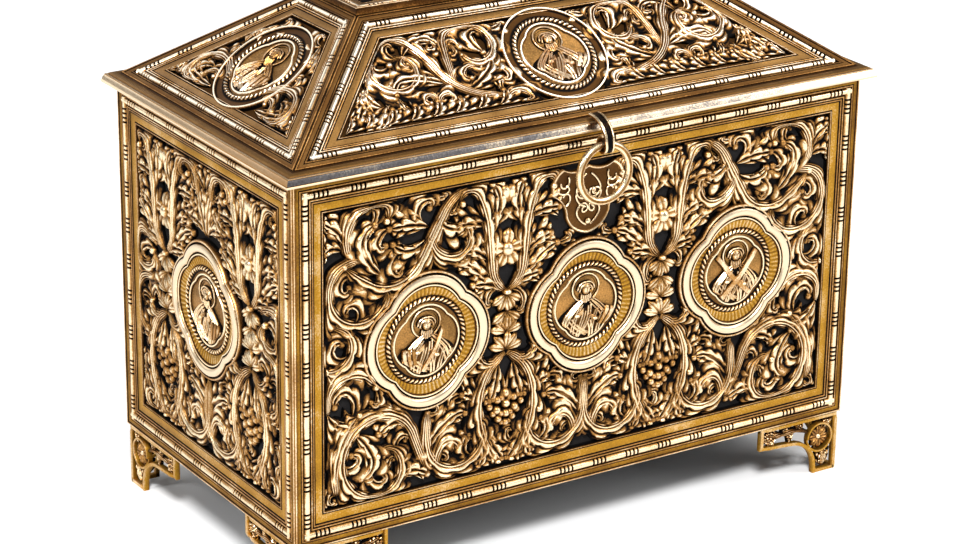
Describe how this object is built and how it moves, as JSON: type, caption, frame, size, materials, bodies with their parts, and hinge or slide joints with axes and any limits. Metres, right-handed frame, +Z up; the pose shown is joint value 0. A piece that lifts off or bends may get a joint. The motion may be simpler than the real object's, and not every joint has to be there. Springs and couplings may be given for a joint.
{
  "type": "reliquary casket",
  "caption": "Gilt metal casket with scrollwork panels, quatrefoil medallions, a hipped lid that lifts off, pierced bracket feet and a pull ring over a lock plate.",
  "frame": {"origin": "on the floor under the middle of the whole casket, strap and ring included", "axes": "+X along the front to the right, +Y from the front to the back, +Z up"},
  "size_m": [0.2484, 0.1456, 0.2],
  "materials": {
    "gilt_panel": "antique gilt with dark recesses",
    "gilt_lid": "browner antique gilt with dark recesses",
    "polished_gilt": "polished pale gilt",
    "dark_gilt": "darkened gilt"
  },
  "bodies": {
    "casket": {"front_panel": "gilt_panel", "right_panel": "gilt_panel", "back_panel": "gilt_panel", "left_panel": "gilt_panel", "front_left_medallion": "polished_gilt", "front_middle_medallion": "polished_gilt", "front_right_medallion": "polished_gilt", "right_medallion": "polished_gilt", "back_left_medallion": "polished_gilt", "back_middle_medallion": "polished_gilt", "back_right_medallion": "polished_gilt", "left_medallion": "polished_gilt", "base_plate": "dark_gilt", "foot_front_left": "gilt_panel", "foot_front_right": "gilt_panel", "foot_back_right": "gilt_panel", "foot_back_left": "gilt_panel", "lid_rim": "polished_gilt", "lid_front_panel": "gilt_lid", "lid_right_panel": "gilt_lid", "lid_back_panel": "gilt_lid", "lid_left_panel": "gilt_lid", "lid_front_medallion": "gilt_lid", "lid_right_medallion": "gilt_lid", "lid_back_medallion": "gilt_lid", "lid_left_medallion": "gilt_lid", "lid_top_panel": "gilt_lid", "lock_plate": "dark_gilt", "hasp_strap": "dark_gilt"},
    "ring": {"pull_ring": "polished_gilt"}
  },
  "joints": [
    {"name": "ring_swing", "type": "hinge", "parent": "casket", "child": "ring", "pos_m": [0, -0.0694, 0.1545], "axis": [-1, 0, 0], "range_deg": [-15, 120]}
  ]
}
